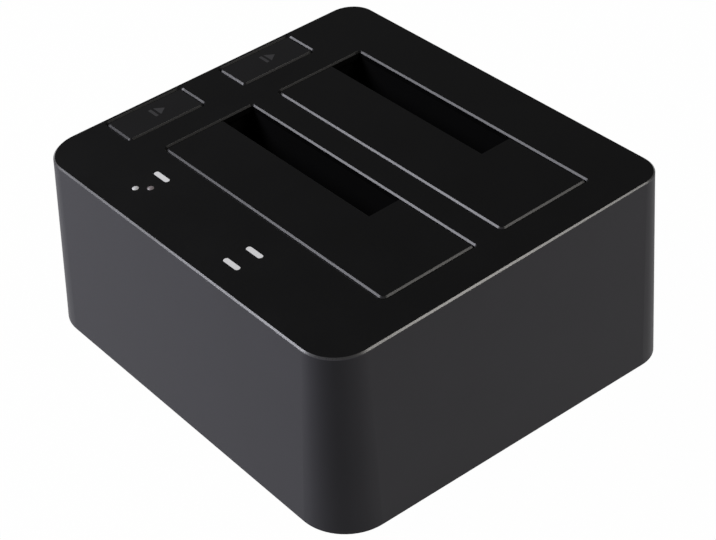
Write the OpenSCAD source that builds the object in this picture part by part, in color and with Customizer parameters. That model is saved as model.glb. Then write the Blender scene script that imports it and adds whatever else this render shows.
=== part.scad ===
// Dual-bay docking station for upright drives.
// X runs to the right along the front wall, Y to the rear and Z up.
// The origin is on the desk, below the middle of the housing.

/* [Housing] */
// Width over the bottom edge of the walls
base_w = 152; // [150:1:165]
// Depth over the bottom edge of the walls
base_d = 135; // [134:1:150]
// Height of the front wall above its bottom edge
front_h = 61; // [58:0.5:68]
// Height of the rear wall above its bottom edge
rear_h = 67; // [63:0.5:75]
// How far each wall leans in over the mean height
wall_lean = 3.25; // [1.5:0.25:4]
// Radius of the two front upright corners at the bottom edge
front_corner_r = 16; // [12:0.5:18]
// Radius of the two rear upright corners at the bottom edge
rear_corner_r = 12.5; // [11:0.5:16]
// Thickness of the side walls
wall = 2.2; // [1.8:0.1:2.8]
// Thickness of the top
top_t = 2.5; // [2:0.1:3]
// Bevel round the top edge
edge_bevel = 0.5; // [0.3:0.1:1.4]
// Height of the feet below the bottom edge
foot_h = 1.5; // [1:0.25:3]
// Radius of each foot
foot_r = 6; // [4:0.5:8]
// Depth of the pockets that hold the feet
foot_pocket = 0.8; // [0.5:0.1:1.2]
// Thickness of the base plate
base_t = 2.5; // [2:0.1:3]

/* [Bays] */
// Length of a bay opening
bay_len = 105; // [103:0.5:107]
// Width of a bay opening
bay_wid = 34.6; // [33.5:0.1:36]
// Gap between the two bays
bay_gap = 10; // [8:0.2:13]
// How far the bays sit to the right of the middle
bay_x = 7; // [5:0.5:9]
// Room between the rear bay's well and the rear panel
port_room = 18.7; // [18:0.1:22]
// Bevel round the bays, the flaps and the buttons
mouth_bevel = 0.5; // [0.3:0.05:0.6]
// Radius of the two front corners of a bay
bay_front_r = 2; // [1.2:0.1:3]
// Length of the open notch for a small drive
slot_len = 72.3; // [71:0.1:75]
// Width of the open notch for a small drive
slot_wid = 12; // [10.5:0.1:13]
// Thickness of the well walls
well_wall = 2; // [1.6:0.1:2.4]
// Thickness of the well floor
well_floor_t = 2; // [1.6:0.1:2.4]
// Height of the well floor above the desk
well_floor_z = 14; // [13.5:0.25:16]
// Room past each end of a bay for the flap's stops
end_room = 1.5; // [1.2:0.1:2]
// Room between a wide drive and the end guides
drive_room = 0.5; // [0.3:0.1:1]

/* [Flaps] */
// Thickness of a flap
flap_t = 2.4; // [2:0.1:2.8]
// Gap round a flap
flap_gap = 0.35; // [0.3:0.05:0.6]
// Distance of the hinge from the front edge of the bay
hinge_inset = 2.7; // [2.6:0.1:3.2]
// Depth of the hinge below the top face
hinge_drop = 4; // [3.9:0.1:4.4]
// Radius of the hinge pin
flap_pin_r = 1; // [0.8:0.1:1.2]
// Radius of the hinge barrel
flap_barrel_r = 2.1; // [1.9:0.1:2.2]
// Wire diameter of the flap spring
flap_wire = 0.5; // [0.4:0.05:0.6]
// Mean radius of the flap spring
flap_coil_r = 1.7; // [1.6:0.05:1.8]
// Turns of the flap spring
flap_turns = 8; // [4:1:10]

/* [Eject buttons] */
// Length of a button along the left edge
button_len = 28.7; // [24:0.1:32]
// Width of a button
button_wid = 13.4; // [11:0.1:14]
// Rim between a button and the left edge of the top
button_rim = 2.4; // [2.2:0.1:3]
// How far a button sits in front of the middle of its bay, as a share of the front margin
button_share = 0.2655; // [0.2:0.005:0.3]
// Gap round a button
button_gap = 0.35; // [0.3:0.05:0.6]
// Travel of a button
button_travel = 5; // [3:0.25:5.5]
// Wall of the button cap
cap_wall = 1.6; // [1.2:0.1:2]
// Depth of the button's shelf below the top face
shelf_drop = 23; // [21:0.5:26]
// Radius of the lever pivot pin
lever_pin_r = 1.5; // [1.2:0.1:1.8]
// Height of the lever pivot above the desk
lever_z = 12.5; // [12.2:0.1:13.5]
// Thickness of the lever arms
lever_t = 3; // [2.4:0.1:3.4]
// Reach of the lever from its pivot to the lifting tip
lever_reach = 14; // [12:0.5:16]
// Wire diameter of the button spring
button_wire = 0.8; // [0.6:0.1:1]
// Mean radius of the button spring
button_coil_r = 3; // [2.8:0.1:3.4]
// Turns of the button spring
button_turns = 7; // [4:1:9]

/* [Electronics] */
// Thickness of the circuit board
board_t = 1.6; // [1:0.2:2]
// Height of the board posts above the base plate
board_post_h = 2.5; // [2:0.1:3]
// Length of a drive connector
sata_len = 42.7; // [41:0.1:44]
// Thickness of a drive connector
sata_wid = 6; // [5.6:0.1:6.4]
// Height of a drive connector above the board
sata_h = 9.5; // [9:0.1:10]
// Distance of the connector from the rear wall of its well
sata_from_rear = 4.5; // [4:0.1:5]
// Distance of the connector's end from the left end of a wide drive
sata_from_end = 20.7; // [20:0.1:21.5]
// How far the rear panel is set in from the bottom edge
panel_inset = 3; // [2.6:0.1:3.4]
// Width of the recessed rear panel
panel_w = 84; // [80:1:90]
// Height of the recessed rear panel
panel_h = 26; // [24:0.5:30]
// Place of the power inlet along X
dc_x = 28; // [24:0.5:32]
// Place of the data port along X
usb_x = 2; // [-2:0.5:6]
// Place of the power switch along X
switch_x = -26; // [-30:0.5:-22]
// Angle that the rocker of the power switch turns
rocker_swing = 18; // [10:1:20]
// Length of an indicator window
window_len = 7; // [5:0.1:9]
// Width of an indicator window
window_wid = 1.9; // [1.6:0.1:3]
// Radius of a small round lamp lens
lens_r = 1.1; // [0.9:0.05:1.3]

/* [Hidden] */
$fn = 48;
eps = 0.01;
big = 400;

// Clearances that the pieces share, and how far cuts reach past a face
fit = 0.05;
seat = 0.2;
run = 0.3;
overcut = 4;

// Housing: the walls lean in by lean_k for each unit of height
mean_h = (front_h + rear_h) / 2;
lean_k = wall_lean / mean_h;
front_edge_y = lean_k * front_h - base_d / 2;
rear_edge_y = base_d / 2 - lean_k * rear_h;
slope = (rear_h - front_h) / (rear_edge_y - front_edge_y);
tilt = atan(slope);
top_half_w = base_w / 2 - wall_lean;
corner_rs = [front_corner_r, rear_corner_r];
floor_z = foot_h + base_t;
panel_y = base_d / 2 - panel_inset;
panel_sill = 1.5;
panel_z0 = floor_z + panel_sill;
panel_in = panel_y - wall;
function top_z(y) = foot_h + front_h + slope * (y - front_edge_y);

// Bays: front first, then rear, set from the rear panel
well_half_y = bay_wid / 2 + well_wall;
tight_r = mouth_bevel + 0.1;
bay_rs = [bay_front_r, tight_r];
flap_rs = [bay_front_r - flap_gap, tight_r];
rear_bay_y = panel_y - port_room - well_half_y;
bay_ys = [rear_bay_y - bay_wid - bay_gap, rear_bay_y];
front_margin = bay_ys[0] - well_half_y - front_edge_y;
function margin_y(share) = bay_ys[0] - well_half_y - share * front_margin;
bay_left = bay_x - bay_len / 2;
bay_right = bay_x + bay_len / 2;
well_left = bay_left - end_room - well_wall;
well_right = bay_right + end_room + well_wall;
leg = 4.5;
guide_w = 3;
guide_gap = 1.5;
guides_back = [2, 22];
drive_len = 101.6;
small_drive_t = 9.5;
drive_back_room = 1;

// Flap hinges, worked out in the sloped frame of the top
hinge_v = hinge_inset - bay_wid / 2;
function hinge_y(i) = bay_ys[i] + hinge_v * cos(tilt) + hinge_drop * sin(tilt);
function hinge_z(i) = top_z(bay_ys[i]) + hinge_v * sin(tilt) - hinge_drop * cos(tilt);
flap_coil_gap = 0.46;
flap_pitch = flap_wire + flap_coil_gap;
flap_coil_len = flap_pitch * (flap_turns + 0.25);
spring_room = 2;
spring_bay = flap_coil_len + flap_wire + spring_room;
flap_leg = 8;
flap_leg_room = 1;
barrel_gap = 1;
rib_h = 1.5;
rib_t = 1.4;
rib_shares = [-0.42, -0.25, 0.25, 0.42];
rib_inset = 2;
tab_t = 1.5;
tab_len = 5;
tab_gap = 0.5;
tab_out = end_room - tab_gap;
tab_in = 4;
tab_inset = 3;
flap_reach = bay_wid - hinge_inset - flap_gap;

// Buttons and levers
button_x = button_rim + button_wid / 2 - top_half_w;
button_shift = button_share * (bay_ys[0] - bay_wid / 2 - front_edge_y);
function button_y(i) = bay_ys[i] - button_shift;
button_guide = 2.5;
button_r = 1.2;
button_rs = [button_r, button_r];
button_mouth_rs = [button_r + button_gap, button_r + button_gap];
button_h = top_t + button_travel + button_guide;
stem_off_x = 1.5;
stem_x = button_x - stem_off_x;
stem_w = 4;
stem_len = 6;
stem_off_y = 8.7;
stem_shift = stem_off_y - button_shift;
nose_r = 1.2;
nose_taper = 2;
catch_out = 1.2;
catch_h = 3;
lever_gap = 4;
lever_x = well_left - lever_gap;
arm_in = lever_x - stem_x;
lever_per_mm = 1 / arm_in;
lever_swing = button_travel * lever_per_mm * 180 / PI;
lever_room = 1;
lever_rise = (well_left + well_wall - lever_x) * tan(lever_swing) + lever_room;
arm_past = 2.5;
arm_w = 6;
in_arm_y = stem_shift;
arm_inset = 1.5;
out_arm_y = bay_wid / 2 - drive_back_room - small_drive_t / 2 - arm_inset;
arm_room = 0.7;
hub_wall = 1.7;
hub_r = lever_pin_r + hub_wall;
hub_past = 0.5;
hub_y0 = in_arm_y - arm_w / 2 - hub_past;
hub_y1 = out_arm_y + arm_w / 2 + hub_past;
ear_t = 3;
ear_w = 7;
tip_h = 2.2;
tip_len = 3;
shelf_t = 3;
shelf_past = 6.35;
shelf_out = well_left - button_x + shelf_past;
shelf_edge = 2;
shelf_stem_edge = 2.6;
brace_in = 4;
function shelf_z(i) = top_z(bay_ys[i]) - shelf_drop;
spring_off_y = 6.8;
spring_shift = -button_shift - spring_off_y;
function cap_under(i) = top_z(bay_ys[i] + spring_shift) - cap_top;
cap_top = 2.2;
boss_gap = 0.4;
boss_r = button_coil_r - button_wire / 2 - boss_gap;
boss_h = 4;

// Screw posts of the housing, in its corners
post_r = 3.6;
post_out = 4.5;
post_in = front_corner_r - post_out;
post_at = [for (x = [-1, 1]) for (y = [-1, 1])
  [x * (base_w / 2 - post_in), y * (base_d / 2 - post_in)]];

// Board and connectors: the board stays between the legs of the wells and clear of the posts
board_z = floor_z + board_post_h;
board_top = board_z + board_t;
board_r = 2;
board_gap = 0.5;
board_reach = base_w / 2 - post_in - post_r - board_gap;
board_x0 = max(well_left + leg + board_gap, -board_reach);
board_x1 = min(well_right - leg - board_gap, board_reach);
board_share = 0.778;
board_y0 = margin_y(board_share);
board_y1 = panel_in - run;
board_hole = 4.5;
board_hole_gap = 0.5;
board_holes = [[board_x0 + board_hole, board_y0 + board_hole], [board_x1 - board_hole, board_y0 + board_hole],
  [board_x0 + board_hole, board_y1 - board_hole], [board_x1 - board_hole, board_y1 - board_hole]];
sata_x = bay_x - drive_len / 2 + sata_from_end + sata_len / 2;
function sata_y(i) = bay_ys[i] + bay_wid / 2 - sata_from_rear;
sata_prong = 2.6;
sata_prong_h = 2.4;
sata_lip = 1;
sata_gap = 2.4;
sata_depth = 6.5;
data_len = 10.6;
power_len = 20.8;
key_len = 2.4;
key_out = 1.1;
blade_pitch = 1.27;
blade_in = 0.6;
blade_end = 0.4;
blade = [0.6, 0.3, 5.5];
usb_w = 12.2;
usb_h = 11.6;
usb_len = 17.6;
usb_skin = 0.6;
usb_mouth_w = 8.5;
usb_mouth_h = 7.2;
usb_neck_w = 5.9;
usb_neck_h = 10.2;
usb_corner = 1;
usb_block = 6;
usb_tongue_in = 2;
usb_tongue_w = 5.6;
usb_tongue_z = [2.1, 5.2];
usb_rail_w = 4;
usb_rail_z = [8.3, 9.4];
dc_w = 9;
dc_h = 11;
dc_len = 14;
dc_bore_r = 3.2;
dc_bore_len = 10;
dc_nose = 1.8;
dc_nose_wall = 0.6;
dc_pin_r = 1.05;
dc_pin_in = 1;
dc_axis_h = 6.4;
dc_axis_z = board_top + dc_axis_h;
switch_w = 14;
switch_h = 10;
switch_len = 12;
rocker_w = 11.4;
rocker_h = 6.6;
rocker_pivot_r = 2.4;
rocker_pin_r = 0.8;
rocker_in = 1.6;
rocker_axis_y = panel_y - rocker_in;
rocker_room = 1.6;
rocker_play = 0.4;
rocker_low = 0.6;
rocker_valley = 1.2;
rocker_ends = [0.5, 0.2];
switch_wall = 1;
switch_proud = 0.6;
switch_axis_z = board_top + switch_h / 2;
switch_face = panel_y + switch_proud;
port_proud = 0.3;
port_face = panel_y + port_proud;

// Parts on the board
chip = [10, 10, 1.2];
chip_at = [6, -8];
chip_lead = 1;
chip_lead_t = 0.2;
chip_lift = 0.1;
strip_y = (board_y0 + bay_ys[0] - well_half_y) / 2;
coil = [7.3, 7.3, 4];
coil_in = 14;
coil_dish_r = 2.6;
coil_dish = 0.4;
can_r = 3.15;
can_h = 8;
can_groove = 0.4;
can_groove_z = 1;
cans_left = [24, 34];
can_right = 26;

// Screws, feet, indicator windows and lamp lenses
screw_r = 1.35;
screw_len = 12;
screw_head_r = 2.7;
screw_head_h = 1.5;
screw_sink = 0.2;
recess_deep = 0.8;
recess_long = 3;
recess_thin = 0.7;
board_screw_r = 1.05;
board_screw_head_r = 2.4;
board_screw_head_h = 1.4;
board_post_r = 3;
foot_in_x = 27;
foot_in_y = 20;
feet_at = [for (x = [-1, 1]) for (y = [-1, 1])
  [x * (base_w / 2 - foot_in_x), y * (base_d / 2 - foot_in_y)]];
foot_edge = 0.5;
windows = [[-33.2, margin_y(0.267)], [17.2, margin_y(0.37)], [16.9, margin_y(0.663)]];
window_r = 0.45 * window_wid;
window_rs = [window_r, window_r];
lenses = [[-34.1, margin_y(0.604)], [-30.8, margin_y(0.482)]];
lens_dome = 0.35;
pipe_r = 1.5;
pipe_ledge = 0.8;
pipe_head = 1;
led_size = [3, 1.8, 1];
led_gap = 0.3;

echo(front_hinge = [hinge_y(0), hinge_z(0)], rear_hinge = [hinge_y(1), hinge_z(1)]);
echo(lever = [lever_x, lever_z], rad_per_mm = lever_per_mm, lever_deg = lever_swing);
echo(rocker = [switch_x, rocker_axis_y, switch_axis_z], deck = [for (y = bay_ys) top_z(y)]);

// A block with rounded upright corners, whose four walls come in by "come_in" over its height.
// rs gives the corner radii at its foot, front ones first
module leaning_block(w, d, rs, h, come_in) {
  for (x = [-1, 1]) {
    translate([x * (w / 2 - rs[0]), rs[0] - d / 2, 0]) cylinder(r1 = rs[0], r2 = rs[0] - come_in, h = h);
    translate([x * (w / 2 - rs[1]), d / 2 - rs[1], 0]) cylinder(r1 = rs[1], r2 = rs[1] - come_in, h = h);
  }
  translate([0, d / 2 - rs[1], 0]) rotate([90, 0, 0]) linear_extrude(d - rs[0] - rs[1])
    polygon([[-w / 2, 0], [w / 2, 0], [w / 2 - come_in, h], [come_in - w / 2, h]]);
  rotate([90, 0, 90]) linear_extrude(w - 2 * rs[0], center = true)
    polygon([[-d / 2, 0], [0, 0], [0, h], [come_in - d / 2, h]]);
  rotate([90, 0, 90]) linear_extrude(w - 2 * rs[1], center = true)
    polygon([[0, 0], [d / 2, 0], [d / 2 - come_in, h], [0, h]]);
}

// The housing's outer form without its top, set in by "inset", from the height z0 up
module housing_form(inset, z0) {
  h = rear_h + 2 * overcut;
  low = lean_k * (z0 - foot_h) + inset;
  translate([0, 0, z0])
    leaning_block(base_w - 2 * low, base_d - 2 * low, [for (r = corner_rs) r - low], h, lean_k * h);
}

// Everything below the sloped top, lowered by "drop"
module below_top(drop) {
  rotate([90, 0, 90]) linear_extrude(big, center = true)
    polygon([[-big / 2, -big / 2], [big / 2, -big / 2],
      [big / 2, top_z(big / 2) - drop], [-big / 2, top_z(-big / 2) - drop]]);
}

// What the bevel takes off round the edge of the top
module edge_waste() {
  grow = edge_bevel + overcut;
  mid_y = (front_edge_y + rear_edge_y) / 2;
  d = (rear_edge_y - front_edge_y) / cos(tilt);
  translate([0, mid_y, top_z(mid_y)]) rotate([tilt, 0, 0]) difference() {
    translate([-big / 2, -big / 2, -grow]) cube([big, big, 2 * grow]);
    translate([0, 0, -grow - eps])
      leaning_block(2 * top_half_w - 2 * edge_bevel + 2 * grow, d - 2 * edge_bevel + 2 * grow,
        [for (r = corner_rs) r - wall_lean - edge_bevel + grow], grow + eps, grow + eps);
  }
}

// An opening of w by d in the face at z = 0, with a bevel round its mouth
module mouth_waste(w, d, rs) {
  b = mouth_bevel;
  translate([0, 0, -2 * top_t]) leaning_block(w, d, rs, 4 * top_t, 0);
  translate([0, 0, -b]) leaning_block(w, d, rs, 2 * b, -2 * b);
}

// What a bevel leaves of a piece of w by d whose face is at z = 0, down to "deep"
module bevel_keep(w, d, rs, deep) {
  grow = deep - mouth_bevel;
  translate([0, 0, -deep]) leaning_block(w + 2 * grow, d + 2 * grow, [for (r = rs) r + grow], deep, deep);
}

// A box given by its two corners
module span(a, b) {
  translate(a) cube(b - a);
}

// Puts its children in the sloped frame of the top, at place p
module on_slope(p) {
  translate([p[0], p[1], top_z(p[1])]) rotate([tilt, 0, 0]) children();
}

// The same at the middle of bay i
module on_top(i) {
  on_slope([bay_x, bay_ys[i]]) children();
}

// The same at the middle of button i
module on_button(i) {
  on_slope([button_x, button_y(i)]) children();
}

// A rod along X or Y
module rod_x(r, len) {
  rotate([0, 90, 0]) cylinder(r = r, h = len, center = true);
}
module rod_y(r, len) {
  rotate([90, 0, 0]) cylinder(r = r, h = len, center = true);
}

// A wire swept through points: at each one, ring vectors u and v span the wire's section
module wire_tube(pts, us, vs, r) {
  n = 6;
  m = len(pts);
  rings = [for (i = [0 : m - 1]) for (k = [0 : n - 1])
    pts[i] + r * cos(360 * k / n) * us[i] + r * sin(360 * k / n) * vs[i]];
  sides = [for (i = [0 : m - 2]) for (k = [0 : n - 1]) for (half = [0, 1])
    half == 0 ? [i * n + k, (i + 1) * n + k, i * n + (k + 1) % n]
      : [i * n + (k + 1) % n, (i + 1) * n + k, (i + 1) * n + (k + 1) % n]];
  start_cap = [for (k = [1 : n - 2]) [0, k, k + 1]];
  end_cap = [for (k = [1 : n - 2]) [(m - 1) * n, (m - 1) * n + k + 1, (m - 1) * n + k]];
  polyhedron(points = rings, faces = concat(sides, start_cap, end_cap));
}

// The least gap of a wire to itself, between points more than half a turn apart
function least_gap(pts, per_turn, wire) =
  min([for (i = [0 : len(pts) - 1]) for (j = [i + floor(per_turn / 2) + 1 : 1 : len(pts) - 1])
    norm(pts[i] - pts[j])]) - wire;

module upper_shell() {
  color("#2b2b2e") {
    difference() {
      intersection() {
        housing_form(0, foot_h);
        below_top(0);
      }
      edge_waste();
      difference() {
        intersection() {
          housing_form(wall, foot_h - eps);
          below_top(top_t);
        }
        span([-panel_w / 2 - wall, panel_in, 0], [panel_w / 2 + wall, big, panel_z0 + panel_h + wall]);
      }
      bay_cuts();
      button_cuts();
      window_cuts();
      rear_panel_cuts();
      base_rebate();
    }
    for (p = post_at)
      screw_post(p);
  }
}

module bay_cuts() {
  for (i = [0, 1])
    on_top(i) mouth_waste(bay_len, bay_wid, bay_rs);
}

module button_cuts() {
  w = button_wid + 2 * button_gap;
  d = button_len + 2 * button_gap;
  for (i = [0, 1])
    on_button(i) mouth_waste(w, d, button_mouth_rs);
}

module window_cuts() {
  for (p = windows)
    translate([p[0], p[1], well_floor_z]) leaning_block(window_len, window_wid, window_rs, big, 0);
  for (p = lenses)
    on_slope(p) cylinder(r = lens_r, h = 4 * top_t, center = true);
}

// The recess in the rear wall and the holes for the inlet, the port and the switch
module rear_panel_cuts() {
  span([-panel_w / 2, panel_y, panel_z0], [panel_w / 2, big, panel_z0 + panel_h]);
  translate([dc_x, panel_y, dc_axis_z]) rod_y(dc_bore_r + dc_nose_wall + seat, 4 * wall);
  span([usb_x - usb_w / 2 - seat, panel_in - wall, board_top - seat],
    [usb_x + usb_w / 2 + seat, big, board_top + usb_h + seat]);
  span([switch_x - switch_w / 2 - seat, panel_in - wall, board_top - seat],
    [switch_x + switch_w / 2 + seat, big, board_top + switch_h + seat]);
}

// Room at the foot of the rear panel for the edge of the base plate
module base_rebate() {
  span([-panel_w / 2 - wall, panel_in - eps, 0], [panel_w / 2 + wall, panel_in + wall, floor_z]);
}

module screw_post(p) {
  difference() {
    intersection() {
      translate([p[0], p[1], floor_z]) cylinder(r = post_r, h = rear_h + foot_h);
      below_top(top_t / 2);
    }
    translate([p[0], p[1], floor_z - eps]) cylinder(r = screw_r + fit, h = screw_len);
  }
}

module base_plate() {
  inset = wall + seat;
  color("#242426") difference() {
    union() {
      difference() {
        translate([0, 0, foot_h])
          leaning_block(base_w - 2 * inset, base_d - 2 * inset, [for (r = corner_rs) r - inset],
            base_t, lean_k * base_t);
        span([-panel_w / 2 - wall, panel_in + wall - seat, 0], [panel_w / 2 + wall, big, 2 * floor_z]);
      }
      for (p = board_holes)
        translate([p[0], p[1], floor_z - eps]) cylinder(r = board_post_r, h = board_post_h + eps);
      for (i = [0, 1])
        lever_ears(i);
    }
    for (p = post_at) {
      translate([p[0], p[1], 0]) cylinder(r = screw_r + run, h = floor_z + eps);
      translate([p[0], p[1], 0]) cylinder(r = screw_head_r + run, h = foot_h + screw_head_h);
    }
    for (p = feet_at)
      translate([p[0], p[1], 0]) cylinder(r = foot_r + seat, h = foot_h + foot_pocket);
    for (p = board_holes)
      translate([p[0], p[1], floor_z]) cylinder(r = board_screw_r + fit, h = board_post_h + eps);
  }
}

// The two ears that carry the pivot of lever i
module lever_ears(i) {
  for (y = [hub_y0 - run - ear_t, hub_y1 + run])
    translate([lever_x, bay_ys[i] + y, 0]) difference() {
      union() {
        span([-ear_w / 2, 0, floor_z - eps], [ear_w / 2, ear_t, lever_z]);
        translate([0, ear_t / 2, lever_z]) rod_y(ear_w / 2, ear_t);
      }
      translate([0, ear_t / 2, lever_z]) rod_y(lever_pin_r + fit, 2 * ear_t);
    }
}

module bay_well(i) {
  y = bay_ys[i];
  color("#1f1f21") difference() {
    intersection() {
      union() {
        span([well_left, y - well_half_y, well_floor_z - well_floor_t],
          [well_right, y + well_half_y, big / 2]);
        well_legs(i);
        button_shelf(i);
      }
      below_top(top_t);
    }
    difference() {
      span([well_left + well_wall, y - bay_wid / 2, well_floor_z],
        [well_right - well_wall, y + bay_wid / 2, big]);
      end_guides(i);
    }
    socket_hole(i);
    lever_notch(i);
    pin_slots(i);
  }
}

// Four legs that stand on the base plate outside the ends of the board
module well_legs(i) {
  for (x = [well_left, well_right - leg])
    for (y = [-well_half_y, well_half_y - leg])
      span([x, bay_ys[i] + y, floor_z], [x + leg, bay_ys[i] + y + leg, well_floor_z]);
}

// Guides at both ends of the well, below the sweep of the flap, with a lead-in at the top
module end_guides(i) {
  out = bay_len / 2 + end_room - drive_len / 2 - drive_room;
  high = hinge_z(i) - flap_reach - guide_gap;
  for (side = [-1, 1])
    for (back = guides_back)
      translate([bay_x + side * (bay_len / 2 + end_room), bay_ys[i] + bay_wid / 2 - back, 0])
        rotate([90, 0, 0]) linear_extrude(guide_w, center = true)
          polygon([[side * eps, well_floor_z - eps], [-side * out, well_floor_z - eps],
            [-side * out, high - 2 * out], [side * eps, high]]);
}

module socket_hole(i) {
  span([sata_x - sata_len / 2 - run, sata_y(i) - sata_wid / 2 - run, 0],
    [sata_x + sata_len / 2 + run, sata_y(i) + sata_wid / 2 + run, well_floor_z + eps]);
}

// Opening in the floor and the left wall for the lifting arm of the lever
module lever_notch(i) {
  y0 = bay_ys[i] + out_arm_y - arm_w / 2 - arm_room;
  y1 = bay_ys[i] + out_arm_y + arm_w / 2 + arm_room;
  span([well_left - eps, y0, 0], [lever_x + lever_reach + 2 * arm_room, y1, well_floor_z + eps]);
  span([well_left - eps, y0, 0], [well_left + well_wall + eps, y1, lever_z + lever_t + lever_rise]);
}

// Open-topped seats for the flap pin in both end walls
module pin_slots(i) {
  r = flap_pin_r + fit;
  for (x = [well_left, well_right - well_wall])
    translate([x + well_wall / 2, hinge_y(i), hinge_z(i)]) {
      rod_x(r, 2 * well_wall);
      span([-well_wall, -r, 0], [well_wall, r, big]);
    }
}

// Shelf on the left of the well that guides the button's stem and carries its spring
module button_shelf(i) {
  y = bay_ys[i];
  z = shelf_z(i);
  y0 = y + spring_shift - button_coil_r - shelf_edge;
  y1 = y + stem_shift + stem_len / 2 + shelf_stem_edge;
  difference() {
    span([well_left - shelf_out, y0, z - shelf_t], [well_left + eps, y1, z]);
    span([stem_x - stem_w / 2 - run, y + stem_shift - stem_len / 2 - run, 0],
      [stem_x + stem_w / 2 + run, y + stem_shift + stem_len / 2 + run, big]);
  }
  for (yr = [y0, y1 - rib_t])
    translate([well_left, yr + rib_t, z - shelf_t]) rotate([90, 0, 0]) linear_extrude(rib_t)
      polygon([[eps, eps], [brace_in - shelf_out, eps], [eps, brace_in - shelf_out]]);
  translate([button_x, y + spring_shift, z - eps]) cylinder(r = boss_r, h = boss_h);
}

module flap(i) {
  color("#2f2f32") on_top(i) difference() {
    union() {
      bevelled_slab([flap_gap - bay_len / 2, flap_gap - bay_wid / 2],
        [bay_len / 2 - flap_gap, bay_wid / 2 - slot_wid], flap_rs);
      bevelled_slab([slot_len - bay_len / 2, hinge_v],
        [bay_len / 2 - flap_gap, bay_wid / 2 - flap_gap], [tight_r, tight_r]);
      for (x = [-1, 1])
        flap_barrel(x);
      flap_ribs();
      flap_tabs();
    }
    translate([0, hinge_v, -hinge_drop]) rod_x(flap_pin_r + fit, bay_len);
    span([-spring_bay / 2, -bay_wid, -big],
      [spring_bay / 2, hinge_v + flap_leg + flap_leg_room, run - hinge_drop + flap_coil_r + flap_wire / 2]);
  }
}

// A slab of the flap's thickness with bevelled upper edges, from corner a to corner b
module bevelled_slab(a, b, rs) {
  size = b - a;
  translate([(a[0] + b[0]) / 2, (a[1] + b[1]) / 2, 0]) intersection() {
    translate([0, 0, -flap_t]) leaning_block(size[0], size[1], rs, flap_t, 0);
    bevel_keep(size[0], size[1], rs, flap_t);
  }
}

// One half of the hinge barrel: the spring sits between the halves
module flap_barrel(side) {
  x0 = spring_bay / 2 - eps;
  x1 = bay_len / 2 - flap_gap - barrel_gap;
  translate([side * (x0 + x1) / 2, hinge_v, -hinge_drop]) rod_x(flap_barrel_r, x1 - x0);
}

// Stiffening ribs under the flap
module flap_ribs() {
  y0 = hinge_v;
  y1 = bay_wid / 2 - slot_wid - rib_inset;
  for (x = rib_shares)
    span([x * bay_len - rib_t / 2, y0, -flap_t - rib_h], [x * bay_len + rib_t / 2, y1, eps - flap_t]);
}

// Stops that catch under the top at both ends of the flap
module flap_tabs() {
  z = -top_t - run;
  for (side = [-1, 1]) {
    y1 = side < 0 ? bay_wid / 2 - slot_wid - rib_inset : bay_wid / 2 - tab_inset;
    x = side * bay_len / 2;
    in = x - side * tab_in;
    span([min(in, x + side * tab_out), y1 - tab_len, z - tab_t], [max(in, x + side * tab_out), y1, z]);
    span([min(in, x - side * flap_gap), y1 - tab_len, z - tab_t],
      [max(in, x - side * flap_gap), y1, eps - flap_t]);
  }
}

module flap_pin(i) {
  color("silver") translate([bay_x, hinge_y(i), hinge_z(i)])
    rod_x(flap_pin_r, well_right - well_left - 2 * fit);
}

// Torsion spring: a leg up the front wall, the coil round the pin and a leg under the flap
module flap_spring(i) {
  per_turn = 8;
  n = per_turn * flap_turns + per_turn / 4;
  r = flap_coil_r;
  angle = [for (k = [0 : n]) 180 - 360 * k / per_turn];
  turns = [for (k = [0 : n])
    [flap_pitch * k / per_turn - flap_coil_len / 2, r * cos(angle[k]), r * sin(angle[k])]];
  pts = concat([[turns[0][0], -r, -flap_leg]], turns, [[turns[n][0], flap_leg, r]]);
  us = concat([[0, -1, 0]], [for (a = angle) [0, cos(a), sin(a)]], [[0, 0, 1]]);
  vs = [for (p = pts) [1, 0, 0]];
  echo(flap_spring_least_gap = least_gap(turns, per_turn, flap_wire));
  color("silver") on_top(i) translate([0, hinge_v, -hinge_drop]) wire_tube(pts, us, vs, flap_wire / 2);
}

module eject_button(i) {
  x0 = button_x - button_wid / 2;
  x1 = button_x + button_wid / 2;
  y0 = button_y(i) - button_len / 2;
  y1 = button_y(i) + button_len / 2;
  low = top_z(button_y(i)) - button_h;
  y = bay_ys[i] + stem_shift;
  nose_z = lever_z + lever_t / 2 + run + nose_r;
  catch_z = shelf_z(i) - shelf_t - run;
  color("#303033") {
    difference() {
      intersection() {
        translate([button_x, button_y(i), low]) leaning_block(button_wid, button_len, button_rs, big / 2, 0);
        below_top(0);
        on_button(i) bevel_keep(button_wid, button_len, button_rs, 2 * button_h);
      }
      intersection() {
        span([x0 + cap_wall, y0 + cap_wall, low - eps], [x1 - cap_wall, y1 - cap_wall, big / 2]);
        below_top(cap_top);
      }
    }
    intersection() {
      union() {
        span([stem_x - stem_w / 2, y - stem_len / 2, nose_z],
          [stem_x + stem_w / 2, y + stem_len / 2, big / 2]);
        translate([button_x, bay_ys[i] + spring_shift, cap_under(i) - boss_h])
          cylinder(r = boss_r, h = 2 * boss_h);
      }
      below_top(cap_top / 2);
    }
    translate([stem_x, y, nose_z]) stem_nose();
    translate([stem_x + stem_w / 2, y + stem_len / 2, catch_z]) rotate([90, 0, 0])
      linear_extrude(stem_len) polygon([[-eps, 0], [catch_out, 0], [-eps, -catch_h]]);
  }
}

// Rounded lower end of a stem, tapering to the nose that presses the lever
module stem_nose() {
  rod_y(nose_r, stem_len);
  rotate([90, 0, 0]) linear_extrude(stem_len, center = true)
    polygon([[-nose_r, 0], [nose_r, 0], [stem_w / 2, nose_taper], [stem_w / 2, nose_taper + eps],
      [-stem_w / 2, nose_taper + eps], [-stem_w / 2, nose_taper]]);
}

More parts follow.
